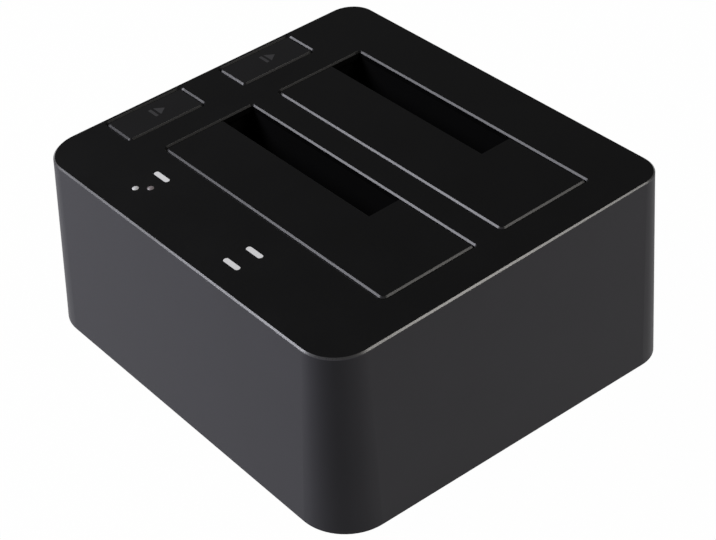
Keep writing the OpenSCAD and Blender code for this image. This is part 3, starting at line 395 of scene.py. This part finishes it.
def button_spring(side, bay_y):
    """Compression spring between the shelf and the button's cap: a helix with one dead turn at each end,
    and between them a rise that is mostly even and a little gentler at its start and end."""
    coil_r, wire_r, turns, per_turn, fit = 0.003, 0.0004, 7, 28, 0.00005
    shelf_drop, cap_t, travel, dead_rise = 0.023, 0.0022, 0.005, 0.0009
    x, y = -0.06365, bay_y - 0.0145
    low = top_z(bay_y) - shelf_drop + wire_r + fit
    high = top_z(y) - cap_t - coil_r * SLOPE - wire_r - fit
    t = np.linspace(0, 1, turns * per_turn + 1)
    dead = 1.0 / turns
    rise = np.clip((t - dead) / (1 - 2 * dead), 0, 1)
    flat = dead_rise * (np.clip(t / dead, 0, 1) + np.clip((t - 1 + dead) / dead, 0, 1))
    z = low + flat + (high - low - 2 * dead_rise) * (rise * 0.9 + 0.1 * rise * rise * (3 - 2 * rise))
    a = 2 * np.pi * turns * t
    path = np.stack([x + coil_r * np.cos(a), y + coil_r * np.sin(a), z], 1)
    made = wires(side + "_button_return_spring", [path], np.array([0, 0, 1.0]), wire_r, zinc_steel)
    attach(made, "housing")
    low - wire_r
    1 - travel / (high - low + 2 * wire_r)
    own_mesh(made)
    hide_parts(side + "_button_spring")


for side, bay_y in BAYS:
    flap_spring(side, bay_y)
    button_spring(side, bay_y)


# Flaps, eject buttons and housing: black mouldings with a polished top face coloured near black, far darker
# than the satin walls below as painted shade, and polished bevels round each piece coloured lighter as a
# painted highlight. The flaps swing on their pins and the buttons slide in the shelves of the wells; the
# housing closes over all of it.
FACE_DEPTH, BEVEL_DEPTH, CHANGE = 0.00003, 0.0005, 0.00002   # below the top plane, and the width of a change
# Painted shade: the bevels in these strips along x, and a little of the rear bay's far bevel, take the face's
# near black.
SHADED_EDGE_STRIPS = (-0.0716, -0.0700), (-0.0576, -0.0562), (-0.0465, -0.0449)   # along x: short edges at the left
STRIP_CHANGE, SHADED_REAR_EDGE = 0.0001, (0.0420, 0.0425)           # along y: far edge of the rear bay
OUTER_X, OUTER_Y = (0.0712, 0.0714), (0.046, 0.0465)         # past these, the housing's outer walls


def topped(name, face, edge, wall, rim_highlight=None):
    """Face where the sloped top plane passes, edge on the bevels just below it, wall everywhere else: the
    masks come from the depth below that plane. The face's near black is painted shade, and the bevels' lighter
    grey is a painted highlight. The short bevels at the left take the face's colour as painted shade, and the
    far bevel of the rear bay takes some of it. The housing's outer top edge also has a stronger painted
    highlight, and the walls of its openings take the face's painted shade."""
    made, tone, place = finish(name)
    x, y, z = place.split()
    depth = TOP_Z + y * SLOPE - z
    # The face's near black, far darker than the walls of the same moulding, is painted shade.
    faces = plastic(tone, place, face, rough=0.36, level=0.2, grain=0.0006, depth=0.000006)
    # The bevels' lighter grey is a painted highlight.
    painted_highlight = plastic(tone, place, edge, rough=0.28, level=0.17, grain=0.0006, depth=0.000001)
    # Painted shade on chosen bevels: the face's near black, with little sheen.
    dull = plastic(tone, place, face, rough=0.5, level=0.04, grain=0.0006, depth=0.000001)
    shade_strips = [x.step(low - STRIP_CHANGE, low) * x.step(high + STRIP_CHANGE, high)
              for low, high in SHADED_EDGE_STRIPS]
    painted_edge_shade = (shade_strips[0] + shade_strips[1] + shade_strips[2]) * 0.85 + y.step(*SHADED_REAR_EDGE) * 0.4
    painted_highlight = tone.node("MixShader", inputs={0: painted_edge_shade, 1: painted_highlight, 2: dull})
    walls = plastic(tone, place, wall, rough=0.46, level=0.08, grain=0.00035, depth=0.00002)
    if rim_highlight:
        off_x, off_y = tone.math("ABSOLUTE", x), tone.math("ABSOLUTE", y)
        far = tone.math("MAXIMUM", off_x.step(*OUTER_X), off_y.step(*OUTER_Y))
        # The housing's outer top edge: a lighter grey that mirrors more, a painted highlight.
        painted_rim_highlight = plastic(tone, place, rim_highlight, rough=0.28, level=0.72, grain=0.0006, depth=0.000001)
        # Inside the openings the walls take the face's near black: painted shade.
        walls = tone.node("MixShader", inputs={0: far, 1: faces, 2: walls})
        painted_highlight = tone.node("MixShader", inputs={0: far, 1: painted_highlight, 2: painted_rim_highlight})
    in_bevel = depth.step(BEVEL_DEPTH + CHANGE, BEVEL_DEPTH)
    on_face = depth.step(FACE_DEPTH + CHANGE, FACE_DEPTH)
    mixed = tone.node("MixShader", inputs={0: in_bevel, 1: walls, 2: painted_highlight})
    close(tone, tone.node("MixShader", inputs={0: on_face, 1: mixed, 2: faces}))
    return made


# The bevels' lighter grey is a painted highlight; the near-black faces below are painted shade.
bevel_highlight_grey, hidden_wall = grey(0.02), grey(0.012)
dress(topped("flap_black", grey(0.0012), bevel_highlight_grey, hidden_wall), "front_flap", "rear_flap")
dress(topped("button_black", grey(0.0042), bevel_highlight_grey, hidden_wall),
      "front_eject_button", "rear_eject_button")
dress(topped("housing_black", grey(0.0012), bevel_highlight_grey, grey(0.0428, 0.10), rim_highlight=grey(0.03)), "upper_shell")


# Eject marks: a triangle over a bar, printed on each button in dark grey ink. The ink lies a hair above the
# sloped top and moves with its button.
MARK_X, MARK_SHIFT, HALF = -0.0645, -0.0062, 0.0023   # middle, in y from the bay's, and half the width
ARROW, BAR = (-0.0003, 0.0027), (-0.0023, -0.0012)    # reach of the two shapes along y, from that middle


def print_on_top(name, outlines, body, material):
    """Flat ink outlines, given in x and y and lifted to the sloped top."""
    flat = np.concatenate(outlines)
    points = np.column_stack([flat, top_z(flat[:, 1]) + INK])
    ends = np.cumsum([len(outline) for outline in outlines])
    faces = [range(end - len(outline), end) for end, outline in zip(ends, outlines)]
    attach(place_mesh(name, points, faces, material), body)


grey_ink = plain_plastic("grey_ink", grey(0.016), rough=0.5, level=0.3, grain=0.0003, depth=0.000005)
for side, bay_y in BAYS:
    y = bay_y + MARK_SHIFT
    x0, x1 = MARK_X - HALF, MARK_X + HALF
    arrow = [(x0, y + ARROW[0]), (x1, y + ARROW[0]), (MARK_X, y + ARROW[1])]
    bar = [(x0, y + BAR[0]), (x1, y + BAR[0]), (x1, y + BAR[1]), (x0, y + BAR[1])]
    print_on_top(side + "_eject_mark", [arrow, bar], side + "_button", grey_ink)


# Indicator windows and lamp lenses: frosted acrylic pipes that carry the lamps' light up to the top, where
# a collar below it holds each. The three windows end flush and pale; the two round lenses are one grey and
# one darker and a little red.
LENSES = ((-0.0341, -0.0537), (0.30, 0.30, 0.29, 1)), ((-0.0308, -0.0504), (0.105, 0.09, 0.09, 1))
LENS_REACH = 0.0021, 0.0020


def window_finish():
    """Frosted acrylic: fine noise varies its tone and sheen, and the pipes within reach of a lens's middle
    take that lens's colour."""
    made, tone, place = finish("frosted_window")
    x, y, _ = place.split()
    fine = tone.node("TexNoise", inputs={"Vector": place, "Scale": 1500.0, "Detail": 3.0})
    base = fine.blend((0.345, 0.345, 0.335, 1), (0.41, 0.41, 0.40, 1))
    for middle, colour in LENSES:
        base = away_from(tone, x, y, middle).step(*LENS_REACH).blend(base, colour)
    bump = tone.node("Bump", inputs={"Strength": 0.5, "Distance": 0.00001, "Height": fine})
    close(tone, tone.node("BsdfPrincipled", inputs={
        "Base Color": base, "Roughness": 0.35 + fine * 0.15, "Specular IOR Level": 0.4, "Normal": bump}))
    return made


dress(window_finish(), "light_pipes")


# Stage: a plain pale floor and surroundings that look white and still take the object's shadow, under two
# square soft lamps, at the left front and the right rear. From below, the floor lets the view through.
REACH, FLOOR_Z = 6.0, -0.0001   # half the floor's width, and its height, a hair below the feet
WHITE = (1, 1, 1, 1)


def floor_finish():
    """Grey to the lamps and white to the eye: the white share is nearly 1 for rays that come from the camera,
    a gloss or a clear piece. The lower side is transparent."""
    made, tone, _ = finish("pale_floor")
    path = tone.node("LightPath")
    seen, glossy, through = (Tone(tone.tree, path.socket.node.outputs[k])
                             for k in ("Is Camera Ray", "Is Glossy Ray", "Is Transmission Ray"))
    bare = tone.node("BsdfDiffuse", inputs={"Color": (0.28, 0.28, 0.28, 1)})
    white = tone.node("Emission", inputs={"Color": WHITE, "Strength": 1.0})
    share = tone.math("MINIMUM", seen + glossy + through, 1.0) * 0.99
    pale = tone.node("MixShader", inputs={0: share, 1: bare, 2: white})
    below = tone.node("NewGeometry", out=6)
    close(tone, tone.node("MixShader", inputs={0: below, 1: pale, 2: tone.node("BsdfTransparent")}))
    return made


square = REACH * np.array([[-1, -1], [1, -1], [1, 1], [-1, 1]])
corners = np.column_stack([square, np.full(4, FLOOR_Z)])
place_mesh("floor", corners, [range(4)], floor_finish())

world = bpy.data.worlds.new("studio")
bpy.context.scene.world = world
world.use_nodes = True
world.node_tree.nodes.clear()
air = Tone(world.node_tree)
seen = air.node("LightPath")
dim = air.node("Background", inputs={"Color": WHITE, "Strength": 0.12})
white = air.node("Background", inputs={"Color": WHITE, "Strength": 1.0})
close(air, air.node("MixShader", inputs={0: seen, 1: dim, 2: white}), "OutputWorld")


def softbox(name, towards, distance, size, power, colour):
    """A square lamp that hangs in the given direction from the object and faces it."""
    lamp = bpy.data.lights.new(name, "AREA")
    lamp.shape, lamp.size, lamp.energy, lamp.color = "SQUARE", size, power, colour
    held = bpy.data.objects.new(name, lamp)
    bpy.context.scene.collection.objects.link(held)
    away = np.array(towards) / np.linalg.norm(towards)
    middle = np.array([0, 0, 0.04])
    held.location = Vector(middle + distance * away)
    held.rotation_mode = "QUATERNION"
    held.rotation_quaternion = Vector(-away).to_track_quat("-Z", "Y")


softbox("key_softbox", (-0.55, -0.53, 0.65), distance=0.75, size=0.36, power=9.2, colour=(0.97, 0.97, 1.06))
softbox("rear_softbox", (0.52, 0.44, 0.73), distance=0.75, size=0.35, power=3.3, colour=(1.03, 1.0, 0.95))


# Camera: at the photograph's viewing angle. Its direction, roll, distance, sideways shift and focal length
# were fitted to the straight edges of the object; the focal length is in pixels of a picture 716 wide.
azimuth, elevation, roll = (math.radians(a) for a in (51.844, 36.256, -2.552))
distance, shift, focal, picture_w, film_w = 0.555388, (0.004102, -0.033267), 1831.02, 716, 36.0
back = np.array([math.sin(azimuth) * math.cos(elevation), -math.cos(azimuth) * math.cos(elevation),
                 math.sin(elevation)])
level = np.array([math.cos(azimuth), math.sin(azimuth), 0])
upward = np.cross(back, level)
right = math.cos(roll) * level + math.sin(roll) * upward
up = math.cos(roll) * upward - math.sin(roll) * level
lens_data = bpy.data.cameras.new("camera")
lens_data.sensor_width = film_w
lens_data.lens = film_w * focal / picture_w
lens_data.clip_start = 0.01
camera = bpy.data.objects.new("camera", lens_data)
bpy.context.scene.collection.objects.link(camera)
spot = np.array([0, 0, TOP_Z]) + shift[0] * right + shift[1] * up + distance * back
pose = np.eye(4)
pose[:3, 0], pose[:3, 1], pose[:3, 2], pose[:3, 3] = right, up, back, spot
camera.matrix_world = Matrix(pose.tolist())
bpy.context.scene.camera = camera
bpy.context.scene.view_settings.view_transform = "Standard"
